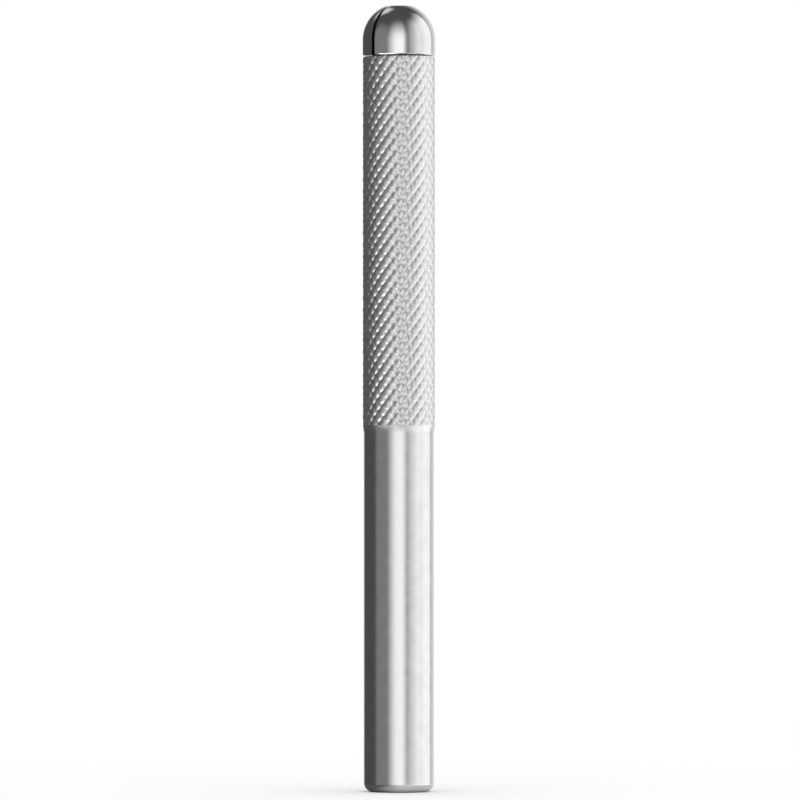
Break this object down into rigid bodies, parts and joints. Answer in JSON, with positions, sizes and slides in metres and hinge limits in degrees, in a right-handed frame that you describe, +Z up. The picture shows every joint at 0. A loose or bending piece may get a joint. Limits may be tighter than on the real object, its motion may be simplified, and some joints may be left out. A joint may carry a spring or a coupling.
{
  "type": "scalpel handle",
  "caption": "Slim round handle for mini scalpel blades, with a diamond-knurled grip and a split, dome-headed collet that screws down to clamp the blade's shank.",
  "frame": {"origin": "centre of the plain rear face, on which the handle stands", "axes": "+Z runs up the axis to the collet's nose, -Y is the side that the picture shows, +X is to its right"},
  "size_m": [0.0092, 0.0092, 0.1],
  "materials": {
    "satin_steel": "satin, turned and knurled",
    "polished_steel": "polished"
  },
  "bodies": {
    "handle": {"handle_body": "satin_steel"},
    "chuck": {"collet": "polished_steel"}
  },
  "joints": [
    {"name": "collet_turn", "type": "hinge", "parent": "handle", "child": "chuck", "pos_m": [0, 0, 0.0935], "axis": [0, 0, 1], "range_deg": [0, 270]}
  ]
}
